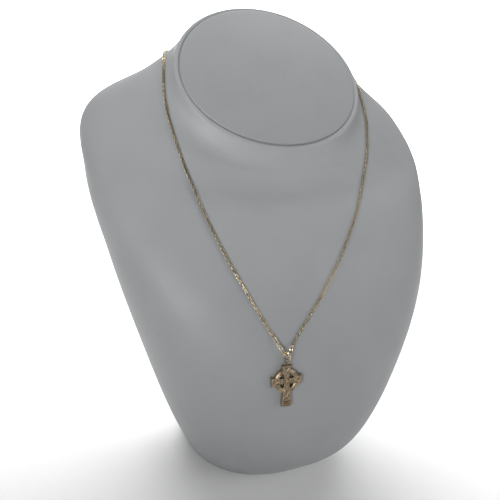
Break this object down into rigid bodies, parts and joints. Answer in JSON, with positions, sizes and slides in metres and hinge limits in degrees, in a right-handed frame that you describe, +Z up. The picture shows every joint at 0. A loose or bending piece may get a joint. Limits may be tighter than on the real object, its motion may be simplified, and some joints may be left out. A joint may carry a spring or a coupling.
{
  "type": "celtic cross pendant necklace on a neck bust",
  "caption": "Gold celtic cross pendant with a pierced nimbus ring and raised knotwork, on a fine cable chain, hung on a leaning leatherette neck bust.",
  "frame": {"origin": "a point on the bust's flat base, below the middle of its body", "axes": "+Z up, the bust and the cross face -Y, +X to the right of one who looks at them"},
  "size_m": [0.19, 0.1278, 0.2347],
  "materials": {
    "leatherette": "matt, fine grain, pale grey",
    "cap_leatherette": "matt, fine grain, pale grey",
    "chain_gold": "polished gold, slightly worn",
    "clasp_gold": "polished gold",
    "ring_gold": "polished gold",
    "cross_gold": "cast gold with darkened recesses"
  },
  "bodies": {
    "root": {"neck_bust": "leatherette", "neck_cap": "cap_leatherette", "chain": "chain_gold", "clasp": "clasp_gold", "jump_ring": "ring_gold", "celtic_cross": "cross_gold"}
  },
  "joints": []
}
